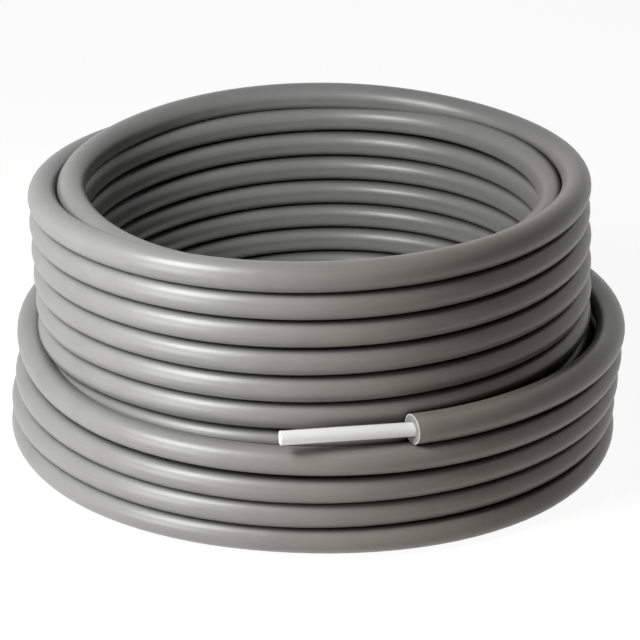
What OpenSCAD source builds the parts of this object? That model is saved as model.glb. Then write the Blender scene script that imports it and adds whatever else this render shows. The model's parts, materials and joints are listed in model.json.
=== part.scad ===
// Insulated multilayer pipe coil, wound in three layers and stored lying on its side face.
// Units are millimetres, +Z is up, and the floor is z = 0.
// The front is -Y. Plan angles are counter-clockwise from +X, seen from above.

/* [Pipe] */

// Outside diameter of the bare pipe
pipe_od = 16; // [12:0.5:18]
// Wall of the bare pipe, with its aluminium layer
pipe_wall = 2; // [1.2:0.1:3]
// Length of pipe that stands bare out of the sleeve
bare_length = 146; // [60:1:180]
// Length of pipe that is modelled inside the sleeve, from the cut backwards
seat_length = 7; // [4:0.5:20]
// Angle by which the bare pipe turns in towards the coil from the line of the sleeve
pipe_turn_in = 4.2; // [0:0.1:6]
// Angle by which the bare pipe lifts from the line of the sleeve
pipe_lift = 2; // [0:0.5:4]

/* [Sleeve] */

// Outside diameter of the foam sleeve
sleeve_od = 34; // [33.4:0.1:35]
// Gap round the pipe in the hollow of the sleeve, which is slipped over the pipe loose
sleeve_clearance = 0.9; // [0.3:0.05:1.2]
// Depth to which the lowest turns are pressed flat on the floor
floor_press = 1; // [0.5:0.1:3]

/* [Coil] */

// Radius of the inner layer, at the middle of the sleeve
inner_r = 282; // [230:1:320]
// Step between layers, a little under the sleeve because the foam gives
layer_step = 33; // [32:0.1:33.3]
// Rise from turn to turn in the inner and middle layers
turn_pitch = 31.3; // [30.5:0.1:33.3]
// Number of turns in the inner and middle layers
tall_turns = 10; // [7:1:12]
// Rise from turn to turn in the outer layer, which is pressed tighter
outer_pitch = 31.5; // [30.5:0.1:33]
// Number of whole turns in the outer layer
outer_turns = 4; // [2:1:6]

/* [Top turn] */

// Height of the top turn over the last ring under it, halfway from the back to the front
top_lift = 23.2; // [16:0.1:24]
// Extra height of the top turn at the back, which it loses again at the front
top_rise = 9.5; // [4:0.1:10]
// Distance that the top turn leans from its ring towards the middle of the winding
top_lean = 2; // [1:0.1:4]
// Foam pressed off the radius of a turn where it crosses between layers, or lies low over a ring
crossing_press = 0.8; // [0.6:0.1:2]
// Arc by which each end of the top turn runs on over the last ring, in degrees
top_overrun = 12; // [6:1:30]

/* [Free end] */

// Direction in which the cut end of the sleeve lies, in degrees
end_angle = -73.3; // [-100:0.1:-50]
// Arc of the last turn that rises out of the outer layer, in degrees
free_arc = 345; // [240:5:350]
// Height of the last turn over the ring under it, a whole turn before the cut
start_rise = 2; // [1:0.1:6]
// Height of the last turn over the ring under it, half a turn before the cut
half_rise = 14; // [8:0.1:20]
// Height of the last turn over the ring under it, at the cut
end_rise = 31.3; // [22:0.1:33]
// Distance that the last turn springs out to the right
spring_out = 3; // [0:0.1:8]

/* [Hidden] */

$fn = 96;

// A stretch that joins another runs this many degrees into it
crossing_overlap = 1.5;
// The top turn leaves the last ring, and lands on it again, this much over its height
landing_lift = 1;
// The hollow in the sleeve runs this far past the end of the pipe in it, and out of the cut
hollow_margin = 0.5;

sleeve_r = sleeve_od / 2;
pipe_r = pipe_od / 2;
bore_r = pipe_r - pipe_wall;
hollow_r = pipe_r + sleeve_clearance;

middle_r = inner_r + layer_step;
outer_r = middle_r + layer_step;
first_z = sleeve_r - floor_press;
tall_z = first_z + (tall_turns - 1) * turn_pitch;
outer_z = first_z + (outer_turns - 1) * outer_pitch;

// The top turn climbs from the last ring to the back, and comes down past the front to it again
landing_z = tall_z + landing_lift;
top_back_z = tall_z + top_lift + top_rise;
top_front_z = tall_z + top_lift - top_rise;
top_in_r = inner_r + top_lean;
top_out_r = middle_r - top_lean;
top_mean_r = (top_in_r + top_out_r) / 2;
top_shift = (top_out_r - top_in_r) / 2;
crossing_r = norm([top_mean_r, top_shift]);
crossing_turn = atan(top_shift / top_mean_r);

function ring_z(k, pitch) = first_z + k * pitch;

// Cross-section of the winding: one round per turn, and the packed middle filled
module winding_profile() {
    intersection() {
        union() {
            for (k = [0 : tall_turns - 1]) {
                translate([inner_r, ring_z(k, turn_pitch)]) circle(r = sleeve_r);
                translate([middle_r, ring_z(k, turn_pitch)]) circle(r = sleeve_r);
            }
            for (k = [0 : outer_turns - 1]) {
                translate([outer_r, ring_z(k, outer_pitch)]) circle(r = sleeve_r);
            }
            packed_middle();
        }
        above_floor();
    }
}

module packed_middle() {
    polygon([
        [inner_r, first_z],
        [outer_r, first_z],
        [outer_r, outer_z],
        [middle_r, outer_z],
        [middle_r, tall_z],
        [inner_r, tall_z]
    ]);
}

module above_floor() {
    square([outer_r + sleeve_od, tall_z + sleeve_od]);
}

// A stretch of round stock bent to a plan radius, from one plan angle to another
module bent_round(bend_r, r, from, to) {
    rotate([0, 0, from])
        rotate_extrude(angle = to - from)
            translate([bend_r, 0])
                circle(r = r);
}

// Puts its children in the plane through a point at the front and a point at the back. Each point
// is given by its distance from the winding axis and its height.
module in_tilted_plane(front, back) {
    slope = (back[1] - front[1]) / (back[0] + front[0]);
    translate([0, 0, front[1] + slope * front[0]])
        rotate([atan(slope), 0, 0])
            children();
}

// Three half turns: up the inner layer on the left, across to the middle layer and down on the
// right, and down to the last ring on the left
module top_turn() {
    in_tilted_plane([top_in_r, landing_z], [top_in_r, top_back_z])
        bent_round(top_in_r, sleeve_r, 90, 270 + top_overrun);
    in_tilted_plane([top_out_r, top_front_z], [top_in_r, top_back_z]) {
        bent_round(top_out_r, sleeve_r, -90, 0);
        translate([top_shift, -top_shift, 0])
            bent_round(
                crossing_r,
                sleeve_r - crossing_press,
                crossing_turn - crossing_overlap,
                90 + crossing_turn + crossing_overlap
            );
    }
    in_tilted_plane([top_out_r, top_front_z], [top_out_r, landing_z])
        bent_round(
            top_out_r,
            sleeve_r - crossing_press,
            90 - top_overrun,
            270 + crossing_overlap
        );
}

// Puts its children in a tilted plane over the outer layer, with the cut on the +X side. The
// plane is this high over the top ring of the layer on the side of the cut and on the far side.
module over_outer_layer(cut_rise, far_rise) {
    translate([spring_out, 0, outer_z + (cut_rise + far_rise) / 2])
        rotate([0, 0, end_angle])
            rotate([0, -atan((cut_rise - far_rise) / 2 / outer_r), 0])
                children();
}

// The last turn in two stretches, which meet level half a turn before the cut
module last_turn() {
    over_outer_layer(end_rise, half_rise)
        bent_round(outer_r, sleeve_r, 0, 180);
    over_outer_layer(start_rise, half_rise)
        bent_round(outer_r, sleeve_r - crossing_press, 180 - crossing_overlap, free_arc);
}

// A straight round stretch on the axis of the bare pipe, by the distances from the cut
module on_pipe_axis(inside, outside) {
    over_outer_layer(end_rise, half_rise)
        translate([outer_r, 0, 0])
            rotate([-pipe_lift, 0, -pipe_turn_in])
                translate([0, inside, 0])
                    rotate([90, 0, 0])
                        linear_extrude(height = inside + outside)
                            children();
}

module insulation() {
    color("#8f9190")
        difference() {
            union() {
                rotate_extrude() winding_profile();
                top_turn();
                last_turn();
            }
            on_pipe_axis(seat_length + hollow_margin, sleeve_r) circle(r = hollow_r);
        }
}

module pipe() {
    color("#f2f2ef")
        on_pipe_axis(seat_length, bare_length)
            difference() {
                circle(r = pipe_r);
                circle(r = bore_r);
            }
}

insulation();
pipe();
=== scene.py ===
import json
import math

import bpy
import numpy as np
from mathutils import Matrix, Vector


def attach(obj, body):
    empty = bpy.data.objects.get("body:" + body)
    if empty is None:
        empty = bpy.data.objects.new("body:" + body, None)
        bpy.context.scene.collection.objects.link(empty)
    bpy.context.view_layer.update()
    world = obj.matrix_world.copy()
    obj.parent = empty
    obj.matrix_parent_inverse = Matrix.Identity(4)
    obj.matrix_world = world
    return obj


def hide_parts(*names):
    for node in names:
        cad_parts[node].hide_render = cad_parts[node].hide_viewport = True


# A coil of foam-insulated multilayer pipe, lying on its side face. The winding axis is Z,
# the front is -Y and the floor is z = 0. Lengths are in metres.
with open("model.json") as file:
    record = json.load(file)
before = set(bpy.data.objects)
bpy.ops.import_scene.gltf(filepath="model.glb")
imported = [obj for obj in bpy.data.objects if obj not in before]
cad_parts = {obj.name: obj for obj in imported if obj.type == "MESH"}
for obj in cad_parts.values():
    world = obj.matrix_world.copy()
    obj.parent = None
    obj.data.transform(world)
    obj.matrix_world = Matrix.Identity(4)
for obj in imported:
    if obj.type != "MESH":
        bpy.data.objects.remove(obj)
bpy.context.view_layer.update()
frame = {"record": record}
mm = 0.001


# --- Foam sleeve ---------------------------------------------------------------------------
# One unbroken tube of grey closed-cell polyethylene foam, extruded with a thin smooth skin and
# slipped over the pipe. It is wound clockwise, seen from above: up the inner layer, down the
# middle layer and four turns up the outer one. The last turn springs free of it and is cut.

SLEEVE_R = 17 * mm        # half of the 34 mm outside diameter
FLOOR_Z = 16 * mm         # height of the middle of a turn that its weight presses on the floor
INNER_R = 283.3 * mm      # plan radius of each layer, at the middle of the sleeve
MIDDLE_R = 315.3 * mm
OUTER_R = 349.5 * mm
HOLLOW_R = 8.5 * mm       # the bore of the foam, a little wider than the pipe in it
SEAT = 7 * mm             # length of the CAD's pipe inside the sleeve, behind the cut
SIDES = 36                # corners of a ring of the sleeve
RINGS = 2400              # rings along the whole winding, 100 or so to a turn

# Stations on the winding, counted in turns from the front of the first turn on the floor
START = -0.19                        # the pipe's other end
INNER_TOP, MIDDLE_IN = 9.5, 9.71     # here the sleeve crosses from the inner to the middle layer
MIDDLE_OUT, OUTER_IN = 19.5, 19.75   # and here from the middle to the outer layer
LOOSE = 23.65                        # from here on it is led to the CAD's cut end
CUT = 23.955                         # the free end

# Where a turn lies off its even helix: the station in the middle of such a place, its reach to
# either side in turns, and how far the sleeve lies outwards and upwards there in millimetres
UNEVEN = [
    (9.10, 0.14, 0, -8),      # the top turn is late to climb off the inner layer
    (8.62, 0.16, 0, 2.5),
    (9.33, 0.22, 0, -4),
    (9.45, 0.15, 4, 0),
    (9.62, 0.24, 0, -7),      # and sinks into the valley between two layers as it crosses it
    (10.32, 0.20, -1.5, -3.5),
    (10.75, 0.20, -1.5, 0),
    (19.895, 0.15, 9.8, 0),   # the lowest outer turn bulges on the floor, at the front
    (20.16, 0.20, 3, 0),
    (20.76, 0.15, -2, 0),
    (21.10, 0.30, 0, -1),
    (21.22, 0.20, 3, -1.5),
    (21.75, 0.20, -2, 0),
    (22.08, 0.22, 0, -3),
    (22.75, 0.20, -2, 0),
    (23.22, 0.12, -6, 0),     # the free turn springs off the outer layer on the left
    (23.25, 0.20, 0, 4),
    (23.34, 0.20, 10, 14),
    (23.65, 0.15, 0, 5),
    (23.76, 0.12, -1.5, 0),
    (23.86, 0.10, 0, 2),
]

pipe_mount = next(m for m in frame["record"]["mounts"] if m["name"] == "pipe_outside")
pipe_axis = np.array(pipe_mount["axis"])
pipe_hidden_end = np.array(pipe_mount["pos_m"]) - pipe_axis * pipe_mount["dims"]["length_mm"] / 2 * mm
cut_centre = pipe_hidden_end + pipe_axis * SEAT


def ease(x, start, end):
    """0 before start, 1 after end, and 3t^2 - 2t^3 between them, t the share of the way."""
    t = np.clip((x - start) / (end - start), 0, 1)
    return t * t * (3 - 2 * t)


def near(turn, station, reach):
    """1 at the station and 0 from reach away on: half of 1 + cos(180 degrees times the share of
    the reach)."""
    return (1 + np.cos(np.pi * np.clip(np.abs(turn - station) / reach, 0, 1))) / 2


def on_floor(z):
    """A height that never falls under FLOOR_Z: FLOOR_Z + log(1 + e^(z - FLOOR_Z)), all in
    millimetres."""
    return FLOOR_Z + mm * np.logaddexp(0, z / mm - FLOOR_Z / mm)


def wound(turn):
    """The middle line of the sleeve, a helix for each layer. Height is linear in turns. The middle
    and outer layers add a sine of the angle, because a turn lies flatter along the front than
    along the back. The inner layer leans instead, by a twentieth of its height at the front, and
    adds a sine and a cosine of twice the angle. Each layer drifts to the right or left, linear in
    turns. The layers are blended where the sleeve crosses from one to the next, and two products
    of sines make no turn quite like the next."""
    angle = -2 * np.pi * turn

    # Heights in millimetres, with 33, 32 and 30.9 mm from turn to turn
    climbed = 315.4 + 33 * (turn - INNER_TOP)
    inner_z = 16 + climbed * (1 - 0.025 * (1 + np.cos(angle)))
    inner_z += 1.25 * (np.cos(2 * angle) - 1) - 1.5 * np.sin(2 * angle)
    middle_z = 312.4 - 32 * (turn - 10) - 2.04 * np.sin(angle + 0.21)
    outer_z = 110.8 + 30.9 * (turn - 23) + 2.26 * np.sin(angle + 0.21)

    crossed_in = ease(turn, INNER_TOP, MIDDLE_IN)
    outer = ease(turn, MIDDLE_OUT, OUTER_IN)
    inner, middle = 1 - crossed_in, crossed_in - outer
    z = inner * on_floor(inner_z * mm) + middle * on_floor(middle_z * mm)
    z = z + outer * on_floor(outer_z * mm)
    radius = inner * INNER_R + middle * MIDDLE_R + outer * OUTER_R

    # Drift to the right in millimetres: more towards the floor in the inner and middle layers,
    # and more towards the top in the outer one
    drift = inner * (1.17 * (9.5 - turn) - 5.8) + middle * (1.21 * (turn - 10) - 8.6)
    drift = (drift + outer * (2.8 * (turn - 22) + 1.0)) * mm

    # The lower a turn of the middle layer, the more it bulges where it crosses the front left
    bulge = middle * (turn > 10.6) * (0.4 + 0.6 * (turn - 10))
    radius = radius + bulge * near(turn % 1, 0.17, 0.09) * mm
    for station, reach, outwards, upwards in UNEVEN:
        radius = radius + outwards * mm * near(turn, station, reach)
        z = z + upwards * mm * near(turn, station, reach)
    radius = radius + 0.35 * mm * np.sin(3.65 * angle + 1) * np.sin(1.7 * angle)
    z = z + 0.3 * mm * np.sin(3.1 * angle + 0.6) * np.sin(0.83 * angle)
    return np.stack([drift + radius * np.sin(angle), -radius * np.cos(angle), z], -1)


def pressed(turn):
    """The height of the foam between the turns above and under it, as a share of its full height:
    a little over half the rise from turn to turn, over the radius. It grows to 1 in each layer's
    top turn, which nothing lies on."""
    inner, middle, outer = 16.65 * mm / SLEEVE_R, 16.15 * mm / SLEEVE_R, 15.6 * mm / SLEEVE_R
    inner = inner + (1 - inner) * ease(turn, INNER_TOP - 1, INNER_TOP)
    middle = middle + (1 - middle) * (1 - ease(turn, 10, 11))
    outer = outer + (1 - outer) * ease(turn, CUT - 1, CUT)
    share = inner + (middle - inner) * ease(turn, INNER_TOP, MIDDLE_IN)
    return share + (outer - share) * ease(turn, MIDDLE_OUT, OUTER_IN)


def frames(line):
    """Unit vectors along a line of points, outwards and upwards: up is Z less its share along the
    line, and outwards is up cross along."""
    along = np.gradient(line, axis=0)
    along /= np.linalg.norm(along, axis=1)[:, None]
    up = np.array([0, 0, 1.0]) - along[:, 2:] * along
    up /= np.linalg.norm(up, axis=1)[:, None]
    return along, np.cross(up, along), up


def swept(middle, along, out, up, radius, press, forward, slant, sides):
    """A grid of rings: each ring is its middle point plus radius times (cos a out + press sin a up),
    moved along by forward plus slant times its distance outwards. Angle a runs over sides steps."""
    a = np.linspace(0, 2 * np.pi, sides, endpoint=False)
    across = radius[:, None] * np.cos(a)
    rise = (radius * press)[:, None] * np.sin(a)
    shift = forward[:, None] + slant[:, None] * across
    grid = middle[:, None] + shift[..., None] * along[:, None]
    return grid + across[..., None] * out[:, None] + rise[..., None] * up[:, None]


def skin(name, grid, row_finish, finishes):
    """A closed mesh from a grid of rings: quads between the rings, one many-sided face on the
    first and on the last ring. Row i of quads takes finish row_finish[i]. An edge that turns by
    more than 40 degrees stays crisp."""
    rows, sides = grid.shape[:2]
    i, j = np.meshgrid(np.arange(rows - 1), np.arange(sides), indexing="ij")
    k = (j + 1) % sides
    quads = np.stack([i * sides + j, i * sides + k, (i + 1) * sides + k, (i + 1) * sides + j], -1)
    first = np.arange(sides)[::-1].tolist()
    last = ((rows - 1) * sides + np.arange(sides)).tolist()
    mesh = bpy.data.meshes.new(name)
    mesh.from_pydata(grid.reshape(-1, 3).tolist(), [], quads.reshape(-1, 4).tolist() + [first, last])
    for finish in finishes:
        mesh.materials.append(finish)
    face_finish = np.append(np.repeat(row_finish, sides), [row_finish[0], row_finish[-1]])
    mesh.polygons.foreach_set("material_index", face_finish.astype(np.int32))
    mesh.polygons.foreach_set("use_smooth", np.ones(len(mesh.polygons), bool))
    mesh.set_sharp_from_angle(angle=math.radians(40))
    piece = bpy.data.objects.new(name, mesh)
    bpy.context.scene.collection.objects.link(piece)
    return piece


def linear(code):
    """An sRGB hex colour as linear red, green, blue and alpha 1: a part over 12.92 where it is
    small, and else (the part + 0.055) / 1.055 to the power of 2.4."""
    parts = [int(code[i:i + 2], 16) / 255 for i in (1, 3, 5)]
    return [p / 12.92 if p <= 0.04045 else ((p + 0.055) / 1.055) ** 2.4 for p in parts] + [1]


def add(tree, kind, settings=None, **sockets):
    """Adds one node. Settings are its properties. Each socket is named with _ for a space, or
    as in3 for its number, and gets a value, or a link from another node's output."""
    made = tree.nodes.new(kind)
    for key, value in (settings or {}).items():
        setattr(made, key, value)
    for key, value in sockets.items():
        digits = key[2:] if key.startswith("in") else ""
        socket = made.inputs[int(digits)] if digits.isdigit() else made.inputs[key.replace("_", " ")]
        if isinstance(value, bpy.types.NodeSocket):
            tree.links.new(value, socket)
        else:
            socket.default_value = value
    return made


def material(name):
    """An empty node material and its tree."""
    made = bpy.data.materials.new(name)
    made.use_nodes = True
    made.node_tree.nodes.clear()
    return made, made.node_tree


# Extruded polyethylene foam under a thin film of the same plastic: the film gives a soft, wide
# sheen, the die leaves faint streaks along it, and the cells under it print through as a fine,
# uneven pebble of about 2 mm. It is drawn at 3 mm, so that it shows. The side that faces the
# front right is tinted warmer, as painted warm light. The grooves, where the turns press on each
# other, get painted shade: it makes them darker and takes their sheen, but less on the left.
foam_skin, tree = material("polyethylene_foam_skin")
place = add(tree, "ShaderNodeAttribute", {"attribute_name": "wound"})
cloudy = add(tree, "ShaderNodeTexNoise", Vector=place.outputs["Vector"], Scale=22, Detail=3,
             Roughness=0.55)
drawn = add(tree, "ShaderNodeMapping", Vector=place.outputs["Vector"], Scale=(7, 240, 240))
streak = add(tree, "ShaderNodeTexNoise", Vector=drawn.outputs[0], Scale=1, Detail=2, Roughness=0.5)
pebble = add(tree, "ShaderNodeTexNoise", Vector=place.outputs["Vector"], Scale=330, Detail=2,
             Roughness=0.6)
tone = add(tree, "ShaderNodeMix", {"data_type": "RGBA"}, Factor=cloudy.outputs["Fac"],
           in6=linear("#757574"), in7=linear("#848483"))
body = add(tree, "ShaderNodeTexCoord")
# Painted warm light: the side that faces the front right is tinted warmer, as if warmer light fell on
# it
front_right_side = add(tree, "ShaderNodeVectorMath", {"operation": "DOT_PRODUCT"}, in0=body.outputs["Object"],
            in1=(0.8, -0.6, 0))
warm_light_mask = add(tree, "ShaderNodeMapRange", Value=front_right_side.outputs["Value"], From_Min=0.1, From_Max=0.35)
painted_warm_light = add(tree, "ShaderNodeMix", {"data_type": "RGBA"}, Factor=warm_light_mask.outputs[0],
          in6=(1, 1, 1, 1), in7=(1.04, 1, 0.85, 1))
tone = add(tree, "ShaderNodeMix", {"data_type": "RGBA", "blend_type": "MULTIPLY"}, Factor=1.0,
           in6=tone.outputs[2], in7=painted_warm_light.outputs[2])
shade = add(tree, "ShaderNodeMapRange", Value=streak.outputs["Fac"], To_Min=0.93, To_Max=1.05)
colour = add(tree, "ShaderNodeMix", {"data_type": "RGBA", "blend_type": "MULTIPLY"}, Factor=1.0,
             in6=tone.outputs[2], in7=shade.outputs[0])
# Painted shade in the grooves: the foam is darkened where the occlusion test finds it closed in
# between the turns, less on the left, where the light reaches into the grooves
groove = add(tree, "ShaderNodeAmbientOcclusion", {"samples": 8, "only_local": True}, Distance=20 * mm)
left_to_right = add(tree, "ShaderNodeVectorMath", {"operation": "DOT_PRODUCT"}, in0=body.outputs["Object"],
              in1=(0.95, 0.3, 0))
deepest_groove_shade = add(tree, "ShaderNodeMapRange", Value=left_to_right.outputs["Value"],
            From_Min=-0.34, From_Max=-0.12, To_Min=0.76, To_Max=0.02)
painted_groove_shade = add(tree, "ShaderNodeMapRange", Value=groove.outputs["AO"], From_Min=0.14, From_Max=0.72,
            To_Min=deepest_groove_shade.outputs[0], To_Max=1.0)
colour = add(tree, "ShaderNodeMix", {"data_type": "RGBA", "blend_type": "MULTIPLY"}, Factor=1.0,
             in6=colour.outputs[2], in7=painted_groove_shade.outputs[0])
rough = add(tree, "ShaderNodeMapRange", Value=cloudy.outputs["Fac"], To_Min=0.3, To_Max=0.4)
relief = add(tree, "ShaderNodeBump", Height=pebble.outputs["Fac"], Strength=0.5, Distance=0.25 * mm)
relief = add(tree, "ShaderNodeBump", Height=streak.outputs["Fac"], Strength=0.5, Distance=0.4 * mm,
             Normal=relief.outputs[0])
# The painted groove shade also takes the sheen off the grooves
gloss = add(tree, "ShaderNodeMath", {"operation": "MULTIPLY"}, in0=painted_groove_shade.outputs[0], in1=0.5)
surface = add(tree, "ShaderNodeBsdfPrincipled", Base_Color=colour.outputs[2], IOR=1.5,
              Roughness=rough.outputs[0], Specular_IOR_Level=gloss.outputs[0],
              Normal=relief.outputs[0])
add(tree, "ShaderNodeOutputMaterial", Surface=surface.outputs[0])

# The same foam where a knife has gone through it: open cells, lighter and without any sheen.
# They are under 1 mm across in the foam, and are drawn at 1.5 mm, so that they show.
foam_cut, tree = material("polyethylene_foam_cut")
place = add(tree, "ShaderNodeTexCoord")
cells = add(tree, "ShaderNodeTexVoronoi", Vector=place.outputs["Object"], Scale=670)
tone = add(tree, "ShaderNodeMix", {"data_type": "RGBA"}, Factor=cells.outputs["Distance"],
           in6=linear("#646462"), in7=linear("#8c8c8a"))
relief = add(tree, "ShaderNodeBump", Height=cells.outputs["Distance"], Strength=0.7, Distance=0.5 * mm)
surface = add(tree, "ShaderNodeBsdfPrincipled", Base_Color=tone.outputs[2], Roughness=0.85,
              Normal=relief.outputs[0], IOR=1.5)
add(tree, "ShaderNodeOutputMaterial", Surface=surface.outputs[0])

# The ring round the rim of the cut face, where the skin ends, is paler than the cells. The skin is
# about 0.3 mm thick, and its edge is drawn 1.3 mm wide, so that it shows.
skin_edge, tree = material("polyethylene_skin_edge")
place = add(tree, "ShaderNodeTexCoord")
drag = add(tree, "ShaderNodeTexNoise", Vector=place.outputs["Object"], Scale=400, Detail=2)
tone = add(tree, "ShaderNodeMix", {"data_type": "RGBA"}, Factor=drag.outputs["Fac"],
           in6=linear("#a3a3a0"), in7=linear("#c4c4c1"))
surface = add(tree, "ShaderNodeBsdfPrincipled", Base_Color=tone.outputs[2], Roughness=0.45, IOR=1.5)
add(tree, "ShaderNodeOutputMaterial", Surface=surface.outputs[0])

turns = np.linspace(START, CUT, RINGS)
line = wound(turns)
line += (cut_centre - line[-1]) * ease(turns, LOOSE, CUT)[:, None]
along, out, up = frames(line)
length = np.concatenate([[0], np.cumsum(np.linalg.norm(np.diff(line, axis=0), axis=1))])

# The rings of an end go from the bottom of its hollow, 30 mm deep, to the mouth and over the cut
# face. From 15.6 mm on they are the edge of the skin, and the tube's own first ring rounds it off.
end_radius = np.array([HOLLOW_R, HOLLOW_R, HOLLOW_R + 0.3 * mm,
                       12.5 * mm, 15.6 * mm, 16.6 * mm, 16.9 * mm])
end_forward = np.array([-30, -0.4, 0, 0, 0, 0, -0.2]) * mm
rounding = 0.6 * mm
ends = len(end_radius)
pick = np.concatenate([np.zeros(ends, int), np.arange(RINGS), np.full(ends, RINGS - 1)])
radius = np.concatenate([end_radius, np.full(RINGS, SLEEVE_R), end_radius[::-1]])
forward = np.concatenate([-end_forward, np.zeros(RINGS), end_forward[::-1]])
forward[ends] += rounding
forward[-ends - 1] -= rounding

# The knife went through the free end 8.5 degrees off square
slant = np.zeros(len(pick))
slant[-ends - 1:-1] = -math.tan(math.radians(8.5))
press = pressed(turns)[pick]
grid = swept(line[pick], along[pick], out[pick], up[pick], radius, press, forward, slant, SIDES)

# The lowest turns are pressed flat where they lie on the floor
grid[..., 2] = np.maximum(grid[..., 2], 0)

# Rows of faces by their finish: the cut face and hollow at each end, the tube, the skin's edges
finishes = [foam_skin, foam_cut, skin_edge]
row_finish = np.full(len(pick) - 1, finishes.index(foam_cut))
row_finish[ends:-ends] = finishes.index(foam_skin)
row_finish[ends - 3:ends] = finishes.index(skin_edge)
row_finish[-ends:3 - ends] = finishes.index(skin_edge)
sleeve = skin("foam_sleeve", grid, row_finish, finishes)

# The foam's pattern follows the winding: its place is the length along the sleeve, and the two
# distances across it from its middle line
a = np.linspace(0, 2 * np.pi, SIDES, endpoint=False)
round_it = radius[:, None, None] * np.stack([np.cos(a), np.sin(a)], -1)
lengthwise = np.broadcast_to((length[pick] + forward)[:, None, None], round_it.shape[:2] + (1,))
where = sleeve.data.attributes.new("wound", "FLOAT_VECTOR", "POINT")
where.data.foreach_set("vector", np.concatenate([lengthwise, round_it], -1).astype(np.float32).ravel())
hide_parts("insulation")
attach(sleeve, "root")


# --- Bare pipe -----------------------------------------------------------------------------
# The 16 x 2 mm multilayer pipe where the sleeve is cut away: white polyethylene outside and in,
# with a thin aluminium tube welded and glued between them, which shows only on the sawn end.

PIPE_R = pipe_mount["dims"]["r_mm"] * mm
BORE_R = 6 * mm           # a 2 mm wall inside the 16 mm outside diameter

# Smooth extruded polyethylene: white, satin, with hair-fine lines along it from the die. They
# lie along the bare pipe to within a degree.
pipe_white, tree = material("white_polyethylene")
place = add(tree, "ShaderNodeTexCoord")
along_pipe = (0, 0, -0.2343)
turned = add(tree, "ShaderNodeMapping", Vector=place.outputs["Object"], Rotation=along_pipe,
             Scale=(9, 420, 420))
lines = add(tree, "ShaderNodeTexNoise", Vector=turned.outputs[0], Scale=1, Detail=3, Roughness=0.6)
dull = add(tree, "ShaderNodeTexNoise", Vector=place.outputs["Object"], Scale=60, Detail=3,
           Roughness=0.5)
tone = add(tree, "ShaderNodeMix", {"data_type": "RGBA"}, Factor=dull.outputs["Fac"],
           in6=linear("#efefec"), in7=linear("#f7f7f5"))
rough = add(tree, "ShaderNodeMapRange", Value=dull.outputs["Fac"], To_Min=0.14, To_Max=0.22)
relief = add(tree, "ShaderNodeBump", Height=lines.outputs["Fac"], Strength=0.4, Distance=0.08 * mm)
surface = add(tree, "ShaderNodeBsdfPrincipled", Base_Color=tone.outputs[2], IOR=1.51,
              Roughness=rough.outputs[0], Normal=relief.outputs[0])
add(tree, "ShaderNodeOutputMaterial", Surface=surface.outputs[0])

# Aluminium where the pipe is sawn through: bright, with the fine grain that the saw leaves
pipe_metal, tree = material("aluminium_layer")
place = add(tree, "ShaderNodeTexCoord")
grain = add(tree, "ShaderNodeTexNoise", Vector=place.outputs["Object"], Scale=900, Detail=2)
rough = add(tree, "ShaderNodeMapRange", Value=grain.outputs["Fac"], To_Min=0.25, To_Max=0.45)
surface = add(tree, "ShaderNodeBsdfPrincipled", Base_Color=linear("#d6d8da"), Metallic=1.0,
              Roughness=rough.outputs[0])
add(tree, "ShaderNodeOutputMaterial", Surface=surface.outputs[0])


def pipe_length(name, start, end):
    """A straight length of the pipe from start to end, as rings: 60 mm up the bore to its mouth,
    over the sawn face with its metal ring, and back along the outside to a plain hidden end."""
    reach = np.linalg.norm(end - start)
    face_radius = BORE_R + np.array([0, 0, 0.3, 0.9, 1.15, 1.6]) * mm
    face_forward = reach + np.array([-60, -0.3, 0, 0, 0, 0]) * mm
    outside = np.linspace(reach - 0.4 * mm, 0, 24)
    radius = np.append(face_radius, np.full(len(outside), PIPE_R))
    forward = np.append(face_forward, outside)
    way = np.broadcast_to((end - start) / reach, (len(radius), 3))
    up = np.array([0, 0, 1.0]) - way[:, 2:] * way
    up /= np.linalg.norm(up, axis=1)[:, None]
    middle = np.broadcast_to(start, way.shape)
    grid = swept(middle, way, -np.cross(up, way), up, radius, 1, forward, 0 * radius, 48)

    # The aluminium is the row of faces from 0.9 to 1.15 mm outside the bore
    finishes = [pipe_white, pipe_metal]
    row_finish = np.full(len(radius) - 1, finishes.index(pipe_white))
    row_finish[3] = finishes.index(pipe_metal)
    return skin(name, grid, row_finish, finishes)


tip = pipe_hidden_end + pipe_axis * pipe_mount["dims"]["length_mm"] * mm
bare_pipe = pipe_length("bare_pipe", pipe_hidden_end, tip)
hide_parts("pipe")
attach(bare_pipe, "root")


# --- Pipe's other end ----------------------------------------------------------------------
# The end of the same pipe where the winding starts, down on the floor inside the eye. It is sawn
# flush with the sleeve, and goes 28 mm back into the hollow.

inner_end = pipe_length("inner_pipe_end", line[0] + along[0] * 28 * mm, line[0])
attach(inner_end, "root")


# --- Floor, light and camera ---------------------------------------------------------------
# A white floor under a white sky, a soft lamp high on the left in front of the coil and a weaker
# one near the floor under it, and a long lens that looks down on the coil at 22 degrees.


def seen_directly(tree):
    """1 for rays that show a thing in the picture or in a shine or through glass, 0 for rays that
    carry its light onto other things: the largest of three flags."""
    ray = add(tree, "ShaderNodeLightPath").outputs
    shown = add(tree, "ShaderNodeMath", {"operation": "MAXIMUM"}, in0=ray["Is Camera Ray"],
                in1=ray["Is Glossy Ray"])
    return add(tree, "ShaderNodeMath", {"operation": "MAXIMUM"}, in0=shown.outputs[0],
               in1=ray["Is Transmission Ray"]).outputs[0]


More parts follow.
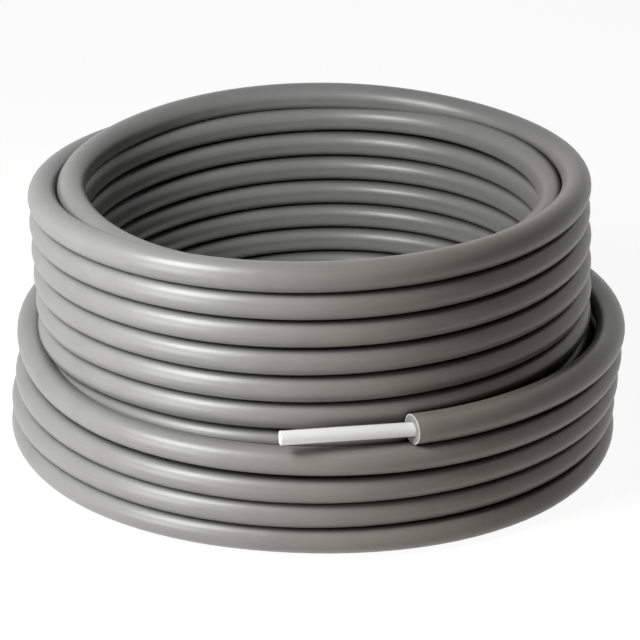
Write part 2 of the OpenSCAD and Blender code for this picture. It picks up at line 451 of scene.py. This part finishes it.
# Matt white, with a faint fibre to it. Seen directly it is mostly plain white, which leaves a
# light shadow under the coil.
floor_white, tree = material("matt_white_floor")
place = add(tree, "ShaderNodeTexCoord")
fibre = add(tree, "ShaderNodeTexNoise", Vector=place.outputs["Object"], Scale=300, Detail=2)
tone = add(tree, "ShaderNodeMix", {"data_type": "RGBA"}, Factor=fibre.outputs["Fac"],
           in6=linear("#fbf9f5"), in7=linear("#fffdfa"))
matt = add(tree, "ShaderNodeBsdfDiffuse", Color=tone.outputs[2])
plain = add(tree, "ShaderNodeEmission", Color=(1, 1, 1, 1), Strength=1.2)
share = add(tree, "ShaderNodeMath", {"operation": "MULTIPLY"}, in0=seen_directly(tree), in1=0.78)
both = add(tree, "ShaderNodeMixShader", Fac=share.outputs[0], in1=matt.outputs[0],
           in2=plain.outputs[0])
add(tree, "ShaderNodeOutputMaterial", Surface=both.outputs[0])

FLOOR_HALF = 8
corners = [(x * FLOOR_HALF, y * FLOOR_HALF, 0) for x, y in ((-1, -1), (1, -1), (1, 1), (-1, 1))]
ground = bpy.data.meshes.new("floor")
ground.from_pydata(corners, [], [(0, 1, 2, 3)])
ground.materials.append(floor_white)
floor = bpy.data.objects.new("floor", ground)
bpy.context.scene.collection.objects.link(floor)

# The sky is white where it is seen, and gives hardly any light of its own
sky = bpy.data.worlds.new("white_sky")
bpy.context.scene.world = sky
sky.use_nodes = True
tree = sky.node_tree
tree.nodes.clear()
level = add(tree, "ShaderNodeMapRange", Value=seen_directly(tree), To_Min=0.01, To_Max=1.0)
glow = add(tree, "ShaderNodeBackground", Color=(1, 1, 1, 1), Strength=level.outputs[0])
add(tree, "ShaderNodeOutputWorld", Surface=glow.outputs[0])


def softbox(name, place, power):
    """A square soft lamp at a place, facing the middle of the coil: power in watts."""
    data = bpy.data.lights.new(name, "AREA")
    data.size = 0.5
    data.energy = power
    made = bpy.data.objects.new(name, data)
    made.location = place
    made.rotation_euler = (Vector((0, 0, 0.2)) - Vector(place)).to_track_quat("-Z", "Y").to_euler()
    bpy.context.scene.collection.objects.link(made)


softbox("high_softbox", (-0.785, -0.659, 1.0), 17.4)
softbox("low_softbox", (-0.95, -0.88, 0.313), 6.6)

# The camera looks at the middle of the coil from the front and above, a hair out of level
elevation = math.radians(22.44)
roll = math.radians(-0.19)
distance = 2.9126
target = Vector((0.00374, 0, 0.1325))
back = Vector((0, -math.cos(elevation), math.sin(elevation)))
right = Vector((1, 0, 0))
upward = back.cross(right)
turned_right = right * math.cos(roll) + upward * math.sin(roll)
turned_up = upward * math.cos(roll) - right * math.sin(roll)
lens = bpy.data.cameras.new("camera")
lens.sensor_width = 36
lens.lens = 135.264
lens.clip_end = 100
camera = bpy.data.objects.new("camera", lens)
facing = Matrix((turned_right, turned_up, back)).transposed().to_4x4()
camera.matrix_world = Matrix.Translation(target + back * distance) @ facing
bpy.context.scene.collection.objects.link(camera)
bpy.context.scene.camera = camera
bpy.context.scene.view_settings.view_transform = "Standard"
